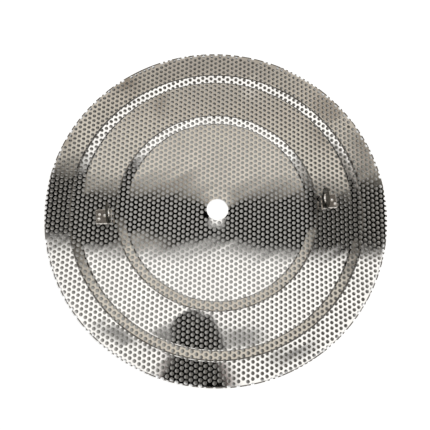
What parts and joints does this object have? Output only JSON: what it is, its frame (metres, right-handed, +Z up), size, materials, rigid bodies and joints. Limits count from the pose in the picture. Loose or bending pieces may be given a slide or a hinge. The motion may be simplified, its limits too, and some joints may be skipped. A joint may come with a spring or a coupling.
{
  "type": "malt pipe screen",
  "caption": "Round perforated screen of thin stainless sheet, pressed into low steps, with a central hole for a pipe and upright eyed lugs to lift it by.",
  "frame": {"origin": "on the axis of the pipe hole, at the underside of the low middle of the screen, which rests on the table", "axes": "+Z up along the axis of the pipe hole, +X from that axis to the right lug"},
  "size_m": [0.268, 0.268, 0.0223],
  "materials": {
    "bright_sheet": "bright annealed stainless sheet, nearly a mirror, punched and pressed",
    "lug_sheet": "smooth rolled stainless sheet, a little duller than the screen"
  },
  "bodies": {
    "root": {"perforated_disc": "bright_sheet", "lug_right": "lug_sheet", "lug_left": "lug_sheet"}
  },
  "joints": []
}
